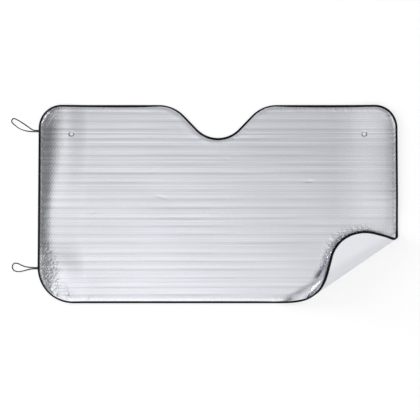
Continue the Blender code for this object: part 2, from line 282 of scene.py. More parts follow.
def elastic_loop(name, height, route):
    """One loop along its route, which runs outwards and upwards from where it leaves the edge."""
    start = np.array([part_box(name)[1].x, height, ELASTIC_WIDTH / 2])
    ends = [(0.0, NECK_SPACING / 2), *route, (0.0, -NECK_SPACING / 2)]
    route_points = [start + np.array([-out, rise, 0.0]) for out, rise in ends]
    path, travelled = smooth_route(route_points, ELASTIC_STEP)
    forward = np.gradient(path, axis=0)
    forward /= np.linalg.norm(forward, axis=1)[:, None]
    upward = np.array([0.0, 0.0, 1.0])
    lean = loop_lean(travelled)[:, None]
    across = np.cross(forward, upward) * np.cos(lean) + upward * np.sin(lean)
    through = np.cross(across, forward)
    points, faces, uvs = swept(path, across, through, band_section(ELASTIC_WIDTH, ELASTIC_THICKNESS))
    loop = new_piece(f"{name}_band", points, faces, uvs)
    loop.data.materials.append(braid)
    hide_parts(name)
    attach(loop, "root")


crossing_threads = thread_group()
braid = dark_cloth("black_braid", BRAID_THREADS, BRAID_THREADS, BRAID_SLANT, BRAID_RELIEF)
elastic_loop("upper_elastic_loop", UPPER_LOOP_HEIGHT, UPPER_LOOP_ROUTE)
elastic_loop("lower_elastic_loop", LOWER_LOOP_HEIGHT, LOWER_LOOP_ROUTE)


# White backing. Bubble film with a smooth white film outside; it carries the whole sheet and shows
# from below and where the corner is turned over. The blank has rounded corners and a notch for the
# mirror; it lies flat but for its arched ends, the right one raised a little, and that corner.
BOTTOM_WIDTH = 1.305
TOP_WIDTH = 1.294
SHEET_HEIGHT = 0.716
BOTTOM_CORNER_RADIUS = 0.131
TOP_CORNER_RADIUS = 0.084
NOTCH_DEPTH = 0.119
NOTCH_FLANK_ANGLE = math.radians(46)
NOTCH_SHOULDER_RADIUS = 0.127
NOTCH_FLOOR_RADIUS = 0.105
ARC_STEP = math.radians(2.5)
CURL_START_HEIGHT = 0.265
CURL_ANGLE = math.radians(30)
CURL_APEX_BEYOND = 0.233
CURL_HALF_ANGLE = math.radians(4)
CURL_WRAP = math.radians(200.25)
MIDDLE_LEVEL = 0.002
LEFT_SLOPE = 0.125
RIGHT_SLOPE = 0.060
RIGHT_RISE = 0.006
RIGHT_RISE_START = 0.42
RIGHT_RISE_RUN = 0.20
ARCH_WIDTH = 0.043
ARCH_END = 0.160
ARCH_ROUNDING = 0.4
LEFT_SHARE = 0.86
RIGHT_SHARE = 0.8
UPPER_START = -0.05
UPPER_RUN = 0.32
UPPER_WIDENING = 0.68
BULGE_HEIGHT = -0.235
BULGE_RUN = 0.06
BULGE_WIDENING = 0.50
TOP_CORNER_START = 0.20
TOP_CORNER_RUN = 0.14
SWELL = 0.0006
SWELL_RUN = 0.05
CALM_BY_CURL = math.radians(12)
LOW_BY_CURL = math.radians(30)
TAPE_THICKNESS = 0.0008
TAPE_COVER = 0.0075
FIT_GAP = 0.0003
PINCH_START = TAPE_COVER + FIT_GAP
PINCH_RAMP = 0.009
LAYER_INSET = TAPE_THICKNESS + FIT_GAP
BACKING_TOP = 0.0021
PINCHED_UNDERSIDE = 0.0011
PINCHED_BACKING_TOP = 0.0020
HOLE_RADIUS = 0.006
HOLE_FROM_TOP = 0.105
HOLE_FROM_SIDE = 0.120
HOLE_HEIGHT = SHEET_HEIGHT / 2 - HOLE_FROM_TOP
PLATE_THICKNESS = 0.002
CUT_TOLERANCE = 1e-6
CURL_CUTS = 50
COARSE_STEP = 0.015
COARSE_ROWS = np.arange(-0.35, 0.36, COARSE_STEP)
COARSE_COLUMNS = np.arange(-0.645, 0.65, COARSE_STEP)
BACKING_STEP = 0.0075
BUBBLE_PITCH = 0.010
FILM_WHITE_DARK = (0.90, 0.91, 0.96, 1)
FILM_WHITE_PALE = (0.92, 0.93, 0.97, 1)


def edge_half_width(height):
    """Half the sheet's width at a height Y, between its leaning sides."""
    return (BOTTOM_WIDTH + (TOP_WIDTH - BOTTOM_WIDTH) * (height / SHEET_HEIGHT + 0.5)) / 2


HOLE_REACH = edge_half_width(HOLE_HEIGHT) - HOLE_FROM_SIDE


def outline(inset=0.0):
    """Points of the rounded outline, anticlockwise, moved inwards by the inset."""
    low, high = -SHEET_HEIGHT / 2, SHEET_HEIGHT / 2
    sharp_depth = NOTCH_DEPTH + NOTCH_FLOOR_RADIUS * (1 / math.cos(NOTCH_FLANK_ANGLE) - 1)
    shoulder = sharp_depth / math.tan(NOTCH_FLANK_ANGLE)
    corners = (
        (Vector((-BOTTOM_WIDTH / 2, low)), BOTTOM_CORNER_RADIUS),
        (Vector((BOTTOM_WIDTH / 2, low)), BOTTOM_CORNER_RADIUS),
        (Vector((TOP_WIDTH / 2, high)), TOP_CORNER_RADIUS),
        (Vector((shoulder, high)), NOTCH_SHOULDER_RADIUS),
        (Vector((0, high - sharp_depth)), NOTCH_FLOOR_RADIUS),
        (Vector((-shoulder, high)), NOTCH_SHOULDER_RADIUS),
        (Vector((-TOP_WIDTH / 2, high)), TOP_CORNER_RADIUS),
    )
    points = []
    for index, (corner, radius) in enumerate(corners):
        before = (corner - corners[index - 1][0]).normalized()
        after = (corners[(index + 1) % len(corners)][0] - corner).normalized()
        turn = math.atan2(before.cross(after), before.dot(after))
        side = math.copysign(1.0, turn)
        left = Vector((-before.y, before.x))
        centre = corner - before * radius * math.tan(abs(turn) / 2) + left * radius * side
        start = math.atan2(-left.y * side, -left.x * side)
        steps = math.ceil(abs(turn) / ARC_STEP)
        for step in range(steps + 1):
            angle = start + turn * step / steps
            points.append(centre + Vector((math.cos(angle), math.sin(angle))) * (radius - inset * side))
    return points


EDGE_LINE = np.array([point[:] for point in outline()])
EDGE_SPANS = np.roll(EDGE_LINE, -1, axis=0) - EDGE_LINE
EDGE_LENGTHS = np.linalg.norm(EDGE_SPANS, axis=1)
EDGE_STARTS = np.concatenate([[0.0], np.cumsum(EDGE_LENGTHS)[:-1]])


def edge_distance(flat):
    """For flat points: the distance in from the outline, and the place along it from its middle point."""
    nearest = np.full(len(flat), np.inf)
    along = np.zeros(len(flat))
    for start, span, length, begin in zip(EDGE_LINE, EDGE_SPANS, EDGE_LENGTHS, EDGE_STARTS):
        share = np.clip((flat - start) @ span / length**2, 0, 1)
        distance = np.linalg.norm(flat - start - share[:, None] * span, axis=1)
        closer = distance < nearest
        nearest[closer] = distance[closer]
        along[closer] = begin + share[closer] * length
    return nearest, np.abs(along - EDGE_LENGTHS.sum() / 2)


APEX_HEIGHT = CURL_START_HEIGHT - SHEET_HEIGHT / 2
APEX = np.array([
    edge_half_width(APEX_HEIGHT) + CURL_APEX_BEYOND,
    APEX_HEIGHT + CURL_APEX_BEYOND * math.tan(CURL_ANGLE),
])
ALONG = np.array([-math.cos(CURL_ANGLE), -math.sin(CURL_ANGLE), 0])
ACROSS = np.array([math.sin(CURL_ANGLE), -math.cos(CURL_ANGLE), 0])
CONE_AXIS = ALONG * math.cos(CURL_HALF_ANGLE) + np.array([0, 0, math.sin(CURL_HALF_ANGLE)])
CONE_DOWN = ALONG * math.sin(CURL_HALF_ANGLE) - np.array([0, 0, math.cos(CURL_HALF_ANGLE)])


def curl_spread(flat):
    """The angle at the cone's apex between the curl's first ruling and flat points."""
    offset = flat - APEX
    return np.arctan2(offset @ ACROSS[:2], offset @ ALONG[:2])


def field_noise(flat, along_x, along_y, seed):
    """Smooth noise over flat points, with so many turns a metre each way."""
    return np.array([noise.noise(Vector((x * along_x, y * along_y, seed))) for x, y in flat])


def arch(from_end, width, slope):
    """The arch of one end: it rises evenly from the edge, rounds over at its width and dies away."""
    rounding = ARCH_ROUNDING * width
    rise = np.minimum(from_end, width - rounding)
    over = np.clip((from_end - width + rounding) / (2 * rounding), 0, 1)
    rise = rise + rounding * 2 * (over - over**2 / 2)
    return slope * rise * (1 - ease((from_end - width - rounding) / (ARCH_END - width)))


def lift(flat):
    """How far the sheet stands off the surface before the corner is turned over."""
    from_end = np.maximum(edge_half_width(flat[:, 1]) - np.abs(flat[:, 0]), 0)
    calm = ease(-curl_spread(flat) / CALM_BY_CURL)
    upper = ease((flat[:, 1] - UPPER_START) / UPPER_RUN)
    low_bulge = np.exp(-(((flat[:, 1] - BULGE_HEIGHT) / BULGE_RUN) ** 2))
    top_corner = ease((flat[:, 1] - TOP_CORNER_START) / TOP_CORNER_RUN)
    left_share = LEFT_SHARE + UPPER_WIDENING * upper + BULGE_WIDENING * low_bulge
    left = arch(from_end, ARCH_WIDTH * left_share, LEFT_SLOPE)
    right = arch(from_end, ARCH_WIDTH * RIGHT_SHARE, RIGHT_SLOPE) * (0.75 + 0.5 * upper + top_corner)
    right *= calm
    raised = ease((flat[:, 0] - RIGHT_RISE_START) / RIGHT_RISE_RUN)
    right += RIGHT_RISE * raised * ease(-curl_spread(flat) / LOW_BY_CURL)
    swell = SWELL * (1 + field_noise(flat, 5, 9, 0.7)) * calm * ease(from_end / SWELL_RUN)
    return np.where(flat[:, 0] < 0, left, right) + swell


def laid(flat, up):
    """Where points of the flat sheet lie: flat is (x, y), up is the height in the sheet's thickness."""
    flat = np.asarray(flat, float)
    spread = curl_spread(flat)
    reach = np.linalg.norm(flat - APEX, axis=1)[:, None]
    turn = np.clip(spread / math.sin(CURL_HALF_ANGLE), 0, CURL_WRAP)[:, None]
    beyond = np.where(turn[:, 0] > 0, spread - turn[:, 0] * math.sin(CURL_HALF_ANGLE), spread)[:, None]
    around = CONE_DOWN * np.cos(turn) + ACROSS * np.sin(turn)
    ruling = CONE_AXIS * math.cos(CURL_HALF_ANGLE) + around * math.sin(CURL_HALF_ANGLE)
    side = ACROSS * np.cos(turn) - CONE_DOWN * np.sin(turn)
    spot = (ruling * np.cos(beyond) + side * np.sin(beyond)) * reach
    normal = np.cross(ruling, side)
    rise = (np.asarray(up, float) - MIDDLE_LEVEL + lift(flat))[:, None]
    return spot + normal * rise + np.array([*APEX, MIDDLE_LEVEL])


def cut_lines(mesh, faces, places, normal):
    """Cuts faces along straight lines square to a normal, nearest line first, keeping what lies beyond."""
    normal = Vector(normal)
    for place in places:
        edges = dict.fromkeys(edge for face in faces for edge in face.edges)
        verts = dict.fromkeys(vert for face in faces for vert in face.verts)
        cut = bmesh.ops.bisect_plane(
            mesh, geom=[*verts, *edges, *faces], dist=CUT_TOLERANCE,
            plane_co=normal * place, plane_no=normal,
        )
        faces = [
            part for part in cut["geom"]
            if isinstance(part, bmesh.types.BMFace) and part.calc_center_median().dot(normal) > place
        ]


def faces_on_side(mesh, side):
    return [face for face in mesh.faces if face.normal.z * side > 0.5]


def flat_plate(rows, columns, fine_side):
    """A thin flat plate of the outline: a fine grid on the side that shows, and on the other a coarse
    one, cut along the curl's rulings too."""
    mesh = bmesh.new()
    verts = [mesh.verts.new((*point, -PLATE_THICKNESS / 2)) for point in outline(LAYER_INSET)]
    base = mesh.faces.new(verts)
    top = bmesh.ops.extrude_face_region(mesh, geom=[base])
    top_verts = [part for part in top["geom"] if isinstance(part, bmesh.types.BMVert)]
    bmesh.ops.translate(mesh, vec=(0, 0, PLATE_THICKNESS), verts=top_verts)
    bmesh.ops.recalc_face_normals(mesh, faces=mesh.faces[:])
    for side in (1, -1):
        fine = side == fine_side
        cut_lines(mesh, faces_on_side(mesh, side), rows if fine else COARSE_ROWS, (0, 1, 0))
        cut_lines(mesh, faces_on_side(mesh, side), columns if fine else COARSE_COLUMNS, (1, 0, 0))
        if fine:
            continue
        for cut in range(CURL_CUTS + 1):
            spread = CURL_WRAP * math.sin(CURL_HALF_ANGLE) * cut / CURL_CUTS
            ruling = ALONG * math.cos(spread) + ACROSS * math.sin(spread)
            coarse = faces_on_side(mesh, side)
            geom = dict.fromkeys(part for face in coarse for part in (*face.verts, *face.edges))
            bmesh.ops.bisect_plane(
                mesh, geom=[*geom, *coarse], dist=CUT_TOLERANCE,
                plane_co=(*APEX, 0), plane_no=(-ruling[1], ruling[0], 0),
            )
    return mesh


def punch_holes(item):
    """Punches the two suction-cup holes through a flat plate with round cutters."""
    for side in (-1, 1):
        bpy.ops.object.select_all(action="DESELECT")
        bpy.ops.mesh.primitive_cylinder_add(
            vertices=64, radius=HOLE_RADIUS, depth=0.02, location=(side * HOLE_REACH, HOLE_HEIGHT, 0)
        )
        cutter = bpy.context.object
        bpy.context.view_layer.objects.active = item
        hole = item.modifiers.new("hole", "BOOLEAN")
        hole.operation = "DIFFERENCE"
        hole.object = cutter
        bpy.ops.object.modifier_apply(modifier=hole.name)
        bpy.data.objects.remove(cutter, do_unlink=True)


def hole_distance(flat):
    """Distance of flat points from the nearer hole's rim."""
    left = np.hypot(flat[:, 0] + HOLE_REACH, flat[:, 1] - HOLE_HEIGHT)
    right = np.hypot(flat[:, 0] - HOLE_REACH, flat[:, 1] - HOLE_HEIGHT)
    return np.minimum(left, right) - HOLE_RADIUS


def read_points(item):
    spots = np.empty(len(item.data.vertices) * 3, np.float32)
    item.data.vertices.foreach_get("co", spots)
    return spots.reshape(-1, 3).astype(float)


def add_mark(item, label, values):
    """Keeps a value for each point of a piece, for its material."""
    item.data.attributes.new(label, "FLOAT", "POINT").data.foreach_set("value", values.astype(np.float32))


def lay_plate(mesh, name, top_level, underside_level):
    """Punches and lays a flat plate, and keeps each point's flat place and its distance from the edge."""
    data = bpy.data.meshes.new(name)
    mesh.to_mesh(data)
    mesh.free()
    item = bpy.data.objects.new(name, data)
    bpy.context.scene.collection.objects.link(item)
    punch_holes(item)
    data = item.data
    spots = read_points(item)
    flat = spots[:, :2]
    inside, along = edge_distance(flat)
    up = np.where(spots[:, 2] > 0, top_level(flat, inside, along), underside_level(flat, inside, along))
    layer = data.uv_layers.new(name="flat")
    corners = np.empty(len(data.loops), np.int32)
    data.loops.foreach_get("vertex_index", corners)
    layer.uv.foreach_set("vector", flat[corners].astype(np.float32).ravel())
    add_mark(item, "edge", inside)
    add_mark(item, "along", along)
    data.vertices.foreach_set("co", laid(flat, up).astype(np.float32).ravel())
    data.shade_smooth()
    data.set_sharp_from_angle(angle=math.radians(50))
    return item, flat


def pinched(full, at_edge, inside):
    """A level that runs from its full height in the field down to the pinched edge."""
    share = ease((inside - PINCH_START) / PINCH_RAMP)
    return at_edge + (full - at_edge) * share


def even_cuts(low, high, step):
    return np.linspace(low, high, max(2, round((high - low) / step) + 1))[:-1]


backing, _ = lay_plate(
    flat_plate(even_cuts(-0.354, 0.356, BACKING_STEP), even_cuts(-0.646, 0.646, BACKING_STEP), -1),
    "white_backing_film",
    lambda flat, inside, along: pinched(BACKING_TOP, PINCHED_BACKING_TOP, inside),
    lambda flat, inside, along: pinched(0.0, PINCHED_UNDERSIDE, inside),
)


def bubble_group():
    """Node group: the low domes of bubbles in staggered rows, from a flat place in metres."""
    tree, taken, given = new_group("bubble_rows", {"Place": "Vector", "Pitch": "Float"}, "Dome")
    place = add_node(tree, "ShaderNodeSeparateXYZ", {0: taken["Place"]})
    pitch = taken["Pitch"]
    across = maths(tree, "DIVIDE", place.outputs[0], pitch)
    upward = maths(tree, "DIVIDE", place.outputs[1], maths(tree, "MULTIPLY", pitch, math.sqrt(3)))
    distances = []
    for shift in (0.0, 0.5):
        x = maths(tree, "SUBTRACT", maths(tree, "FRACT", maths(tree, "ADD", across, shift)), 0.5)
        y = maths(tree, "SUBTRACT", maths(tree, "FRACT", maths(tree, "ADD", upward, shift)), 0.5)
        y = maths(tree, "MULTIPLY", y, math.sqrt(3))
        squares = maths(tree, "ADD", maths(tree, "MULTIPLY", x, x), maths(tree, "MULTIPLY", y, y))
        distances.append(maths(tree, "SQRT", squares))
    nearest = maths(tree, "MINIMUM", *distances)
    dome = add_node(
        tree, "ShaderNodeMapRange",
        {"Value": nearest, "From Min": 0.5, "From Max": 0.14, "To Min": 0.0, "To Max": 1.0},
        interpolation_type="SMOOTHSTEP",
    )
    tree.links.new(dome.outputs[0], given["Dome"])
    return tree


def crease_group():
    """Node group: fine random creases of handled film, from a flat place in metres."""
    tree, taken, given = new_group("film_creases", {"Place": "Vector", "Scale": "Float"}, "Crease")
    place, scale = taken["Place"], taken["Scale"]
    wander = add_node(tree, "ShaderNodeTexNoise", {"Vector": place, "Scale": 55.0, "Detail": 2.0})
    push = add_node(
        tree, "ShaderNodeVectorMath",
        {0: wander.outputs["Color"], 1: (0.012, 0.012, 0.0), 2: place}, operation="MULTIPLY_ADD",
    )
    cells = add_node(
        tree, "ShaderNodeTexVoronoi", {"Vector": push.outputs[0], "Scale": scale},
        feature="DISTANCE_TO_EDGE", voronoi_dimensions="2D",
    )
    ridge = add_node(
        tree, "ShaderNodeMapRange",
        {"Value": cells.outputs["Distance"], "From Min": 0.0, "From Max": 0.35},
        interpolation_type="SMOOTHSTEP",
    )
    soft = add_node(tree, "ShaderNodeTexNoise", {"Vector": place, "Scale": scale, "Detail": 3.0})
    waves = maths(tree, "MULTIPLY", soft.outputs["Fac"], 0.8)
    mixed = maths(tree, "MULTIPLY_ADD", ridge.outputs[0], 0.6, waves)
    tree.links.new(mixed, given["Crease"])
    return tree


def white_film_material():
    """Satin white film over bubbles: faint domes, soft creases and a slight unevenness of its white."""
    material, shader = new_material("white_film", FILM_WHITE_DARK[:3], 0.45)
    tree = material.node_tree
    place = add_node(tree, "ShaderNodeUVMap", uv_map="flat").outputs[0]
    domes = add_node(
        tree, "ShaderNodeGroup", {"Place": place, "Pitch": BUBBLE_PITCH}, node_tree=bubble_rows
    )
    creases = add_node(tree, "ShaderNodeGroup", {"Place": place, "Scale": 60.0}, node_tree=film_creases)
    relief = maths(tree, "MULTIPLY_ADD", creases.outputs[0], 0.5, domes.outputs[0])
    bump = add_node(tree, "ShaderNodeBump", {"Height": relief, "Strength": 0.6, "Distance": 0.0002})
    tree.links.new(bump.outputs[0], shader.inputs["Normal"])
    cloud = add_node(tree, "ShaderNodeTexNoise", {"Vector": place, "Scale": 9.0, "Detail": 4.0})
    tint = add_node(tree, "ShaderNodeValToRGB", {0: cloud.outputs["Fac"]})
    tint.color_ramp.elements[0].color = FILM_WHITE_DARK
    tint.color_ramp.elements[1].color = FILM_WHITE_PALE
    tree.links.new(tint.outputs[0], shader.inputs["Base Color"])
    rough = add_node(
        tree, "ShaderNodeMapRange", {"Value": cloud.outputs["Fac"], "To Min": 0.38, "To Max": 0.54}
    )
    tree.links.new(rough.outputs[0], shader.inputs["Roughness"])
    return material


bubble_rows = bubble_group()
film_creases = crease_group()
backing.data.materials.append(white_film_material())
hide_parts("white_backing")
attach(backing, "root")


# Silver foil. Metallised film bonded to the face of the bubbles and embossed in fine ribs across the
# whole width. Rolling it up has crumpled its corners and the part beside the turned corner, and
# handling has left a few short creases.
FOIL_CREST = 0.0040
GROOVE_DEPTH = 0.00034
RIB_PITCH = 0.0157
UPPER_FLANK = 0.014
LOWER_FLANK = 0.009
FAINT_FLANK = 0.0055
FOIL_UNDERSIDE = 0.0024
PINCHED_FOIL_UNDERSIDE = 0.0023
PINCHED_FOIL_TOP = 0.0029
PRESSED_RING = 0.0015
RING_SLOPE = 0.0040
GROOVES = math.ceil(SHEET_HEIGHT / RIB_PITCH) + 1
STRONG_GROOVE = (0.65, 1.0)
FAINT_GROOVE = (0.10, 0.45)
GROOVE_SHIFT = 0.0040
GROOVE_WANDER = 0.0022
GROOVE_UNEVENNESS = 1.1
RIGHT_FADE = 0.45
FADE_START = -0.1
FADE_RUN = 0.6
LEFT_MARGIN = -0.620
LEFT_MARGIN_WIDTH = 0.024
LEFT_MARGIN_DEPTH = 0.7
PUCKER_HEIGHT = 0.0003
PUCKER_INSET = 0.016
PUCKER_WIDTH = 0.009
CREASE_WIDTH = 0.0028
SILVER_DARK = (0.835, 0.852, 0.915, 1)
SILVER_PALE = (0.875, 0.888, 0.935, 1)
# Painted shade: a dark grey ring is painted on the foil round each hole, where the foil dips into it.
RIM_SHADE_GREY = (0.16, 0.16, 0.17, 1)

# Each crumple: its middle in X and Y, half its run, half its width, its turn and its strength.
CRUMPLE_DEPTH = 0.0012
CRUMPLES = (
    (-0.606, -0.245, 0.085, 0.036, math.radians(97), 1.0),
    (-0.565, -0.312, 0.050, 0.022, math.radians(130), 0.8),
    (-0.618, 0.318, 0.050, 0.026, math.radians(50), 0.6),
    (0.420, -0.165, 0.076, 0.030, math.radians(58), 1.7),
    (0.470, -0.108, 0.065, 0.016, math.radians(18), 1.4),
    (0.622, 0.325, 0.050, 0.022, math.radians(-55), 0.6),
)
# Each crease: its middle in X and Y, half its run, its turn and its depth.
CREASES = (
    (-0.205, 0.026, 0.020, math.radians(-16), 0.0005),
    (0.330, 0.082, 0.014, math.radians(3), 0.0005),
    (-0.235, 0.118, 0.012, math.radians(25), 0.0003),
    (0.030, 0.165, 0.016, math.radians(-40), 0.0003),
    (0.065, 0.172, 0.012, math.radians(32), 0.0003),
    (-0.452, -0.030, 0.012, math.radians(12), 0.0003),
)

chance = random.Random(5)
groove_depths = np.array([
    chance.uniform(*(STRONG_GROOVE if groove % 2 == 0 else FAINT_GROOVE)) for groove in range(GROOVES)
])
groove_shifts = np.array([chance.uniform(-GROOVE_SHIFT, GROOVE_SHIFT) for _ in range(GROOVES)])


def crumpled(flat):
    """Where the foil is crumpled, from 0 to 1: patches at the corners and beside the turned corner."""
    amount = np.zeros(len(flat))
    for x, y, run, width, turn, strength in CRUMPLES:
        off = flat - (x, y)
        down = off @ (math.cos(turn), math.sin(turn)) / run
        aside = off @ (-math.sin(turn), math.cos(turn)) / width
        amount = np.maximum(amount, strength * np.exp(-(down**2 + aside**2) ** 1.5))
    return amount


def crumple_folds(flat):
    """The folds of crumpled foil: sharp ridges between small dishes."""
    return 1 - 2 * np.abs(field_noise(flat, 95, 95, 1.9)) + 0.6 * field_noise(flat, 170, 170, 5.5)


def foil_face(flat, inside, along):
    """The foil's face: uneven grooves, puckers and creases, pinched at the tape, flat round the holes."""
    wander = field_noise(flat, 3.0, 11.0, 2.3) * GROOVE_WANDER
    strength = 1 + GROOVE_UNEVENNESS * field_noise(flat, 4.0, 40.0, 8.1)
    strength -= RIGHT_FADE * ease((flat[:, 0] - FADE_START) / FADE_RUN)
    strength += LEFT_MARGIN_DEPTH * np.exp(-(((flat[:, 0] - LEFT_MARGIN) / LEFT_MARGIN_WIDTH) ** 2))
    above = flat[:, 1] + SHEET_HEIGHT / 2 + wander
    nearest = np.clip(np.round(above / RIB_PITCH).astype(int), 0, GROOVES - 1)
    depth = np.zeros(len(flat))
    for offset in (-1, 0, 1):
        groove = np.clip(nearest + offset, 0, GROOVES - 1)
        off = above - groove * RIB_PITCH - groove_shifts[groove]
        wide = np.where(groove % 2 == 0, np.where(off > 0, UPPER_FLANK, LOWER_FLANK), FAINT_FLANK)
        valley = 0.5 + 0.5 * np.cos(np.pi * np.clip(off / wide, -1, 1))
        depth += valley * groove_depths[groove]
    face = FOIL_CREST - GROOVE_DEPTH * depth * strength
    level = pinched(face, PINCHED_FOIL_TOP, inside)
    pucker = field_noise(np.stack([along, inside], axis=1), 95.0, 25.0, 4.2)
    level += PUCKER_HEIGHT * pucker * np.exp(-(((inside - PUCKER_INSET) / PUCKER_WIDTH) ** 2))
    free = ease((inside - PINCH_START) / PINCH_RAMP)
    level += CRUMPLE_DEPTH * crumpled(flat) * crumple_folds(flat) * free
    for x, y, run, turn, depth in CREASES:
        off = flat - (x, y)
        down = off @ (math.cos(turn), math.sin(turn))
        aside = off @ (-math.sin(turn), math.cos(turn))
        level -= depth * np.exp(-((aside / CREASE_WIDTH) ** 2) - (down / run) ** 4)
    ring = ease((PRESSED_RING + RING_SLOPE - hole_distance(flat)) / RING_SLOPE)
    return level * (1 - ring) + PINCHED_FOIL_TOP * ring


# The foil's grid: one step for its rows, runs of columns with their own steps, and finer by the holes.
ROW_STEP = 0.0027
COLUMN_RUNS = (
    (-0.648, -0.570, 0.0038),
    (-0.570, 0.260, 0.0095),
    (0.260, 0.340, 0.0060),
    (0.340, 0.500, 0.0038),
    (0.500, 0.648, 0.0055),
)
HOLE_BAND = 0.014
HOLE_STEP = 0.0015
foil_rows = np.unique(np.concatenate([
    even_cuts(-0.3565, 0.3565, ROW_STEP),
    even_cuts(HOLE_HEIGHT - HOLE_BAND, HOLE_HEIGHT + HOLE_BAND, HOLE_STEP),
]))
foil_columns = np.unique(np.concatenate([
    *(even_cuts(*run) for run in COLUMN_RUNS),
    *(even_cuts(hole - HOLE_BAND, hole + HOLE_BAND, HOLE_STEP) for hole in (-HOLE_REACH, HOLE_REACH)),
]))
foil, foil_places = lay_plate(
    flat_plate(foil_rows, foil_columns, 1),
    "silver_foil_film",
    foil_face,
    lambda flat, inside, along: pinched(FOIL_UNDERSIDE, PINCHED_FOIL_UNDERSIDE, inside),
)


def silver_film_material():
    """Metallised film over faint bubbles: puckered by the seam, creased in crumples, painted with a dark
    ring of shade round each hole.
    """
    material, shader = new_material("silver_film", (0.86, 0.875, 0.93), 0.26, metallic=1.0)
    tree = material.node_tree
    place = add_node(tree, "ShaderNodeUVMap", uv_map="flat").outputs[0]
    edge, along, crumple, rim = (
        add_node(tree, "ShaderNodeAttribute", attribute_name=name).outputs["Fac"]
        for name in ("edge", "along", "crumple", "rim")
    )
    domes = add_node(
        tree, "ShaderNodeGroup", {"Place": place, "Pitch": BUBBLE_PITCH}, node_tree=bubble_rows
    ).outputs[0]
    fine = add_node(
        tree, "ShaderNodeGroup", {"Place": place, "Scale": 190.0}, node_tree=film_creases
    ).outputs[0]
    seam_place = add_node(
        tree, "ShaderNodeCombineXYZ", {0: along, 1: maths(tree, "MULTIPLY", edge, 0.35)}
    )
    puckers = add_node(
        tree, "ShaderNodeTexNoise", {"Vector": seam_place.outputs[0], "Scale": 120.0, "Detail": 2.0}
    ).outputs["Fac"]
    by_seam = add_node(
        tree, "ShaderNodeMapRange", {"Value": edge, "From Min": 0.040, "From Max": 0.010},
        interpolation_type="SMOOTHSTEP",
    ).outputs[0]
    relief = maths(tree, "MULTIPLY", domes, 0.06)
    relief = maths(tree, "MULTIPLY_ADD", fine, maths(tree, "MULTIPLY_ADD", crumple, 0.25, 0.07), relief)
    relief = maths(tree, "MULTIPLY_ADD", maths(tree, "MULTIPLY", puckers, by_seam), 0.5, relief)
    bump = add_node(tree, "ShaderNodeBump", {"Height": relief, "Strength": 1.0, "Distance": 0.001})
    tree.links.new(bump.outputs[0], shader.inputs["Normal"])
    cloud = add_node(tree, "ShaderNodeTexNoise", {"Vector": place, "Scale": 6.0, "Detail": 3.0})
    rough = add_node(
        tree, "ShaderNodeMapRange", {"Value": cloud.outputs["Fac"], "To Min": 0.20, "To Max": 0.28}
    )
    tree.links.new(rough.outputs[0], shader.inputs["Roughness"])
    tint = add_node(tree, "ShaderNodeValToRGB", {0: cloud.outputs["Fac"]})
    tint.color_ramp.elements[0].color = SILVER_DARK
    tint.color_ramp.elements[1].color = SILVER_PALE
    # Painted shade: the foil is painted darker grey within a few millimetres of each hole's rim.
    rim_shade = add_node(
        tree, "ShaderNodeMapRange", {"Value": rim, "From Min": 0.0038, "From Max": 0.0018, "To Max": 0.6}
    )
    rim_shaded = add_node(tree, "ShaderNodeMix", {0: rim_shade.outputs[0]}, data_type="RGBA")
    tree.links.new(tint.outputs[0], rim_shaded.inputs["A"])
    rim_shaded.inputs["B"].default_value = RIM_SHADE_GREY
    tree.links.new(rim_shaded.outputs["Result"], shader.inputs["Base Color"])
    return material


add_mark(foil, "crumple", crumpled(foil_places))
add_mark(foil, "rim", hole_distance(foil_places))
foil.data.materials.append(silver_film_material())
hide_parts("silver_foil")
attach(foil, "root")


# Edge binding. A black woven tape folded round the edge of both films and sewn through, so it stands
# a little proud. It is drawn in on the corners and shoulders, and reaches further in along the top,
# in the notch and on the turned corner.
TAPE_TOP = 0.0040
TAPE_SLOT_TOP = 0.0032
TAPE_STEP = 0.004
SEAM_MARGIN = 0.0020
SEAM_DIP = 0.00015
FLAP_SPREAD = 0.0017
REACH_WANDER = 0.0002
FOLD_DEPTH = 0.0013
FOLD_POINTS = 9
SEAM_HALF_WIDTH = 0.0008
TIP_ROUND = 0.0003
TIP_SLANT = 0.0002
CROWN = 0.0001
FACE_START = 0.0030
INNER_HALF = 0.0032
SKIN = 0.0002
PUFF = 0.00012
WARP_THREADS = 7000.0
WEFT_THREADS = 7600.0
WEAVE_RELIEF = 0.0002

# Each change of the tape's reach: its middle in X and Y, how far it spreads, and its amount.
TAPE_CHANGES = (
    (-0.590, -0.290, 0.085, -0.0020),
    (-0.185, 0.345, 0.065, -0.0022),
    (0.185, 0.345, 0.065, -0.0022),
    (0.000, 0.239, 0.055, 0.0011),
    (0.255, -0.358, 0.055, -0.0024),
    (-0.625, 0.325, 0.050, -0.0014),
    (-0.350, 0.358, 0.120, 0.0014),
    (0.400, 0.358, 0.150, 0.0014),
)


def tape_reach(flat, places):
    """How far the tape reaches in over the sheet from its edge."""
    reach = TAPE_COVER + REACH_WANDER * field_noise(np.stack([places, places * 0], axis=1), 24, 0, 3.3)
    reach += FLAP_SPREAD * ease(curl_spread(flat) / math.radians(2))
    for x, y, width, change in TAPE_CHANGES:
        reach += change * np.exp(-((np.hypot(flat[:, 0] - x, flat[:, 1] - y) / width) ** 2))
    return reach


def edge_path(step):
    """Even steps round the outline: flat points, inward normals and the place along the edge."""
    total = EDGE_LENGTHS.sum()
    places = np.linspace(0, total, round(total / step), endpoint=False)
    closed = np.vstack([EDGE_LINE, EDGE_LINE[:1]])
    marks = np.append(EDGE_STARTS, total)
    spots = np.stack([np.interp(places, marks, closed[:, axis]) for axis in (0, 1)], axis=1)
    ahead = np.roll(spots, -1, axis=0) - np.roll(spots, 1, axis=0)
    ahead /= np.linalg.norm(ahead, axis=1)[:, None]
    return spots, np.stack([-ahead[:, 1], ahead[:, 0]], axis=1), places


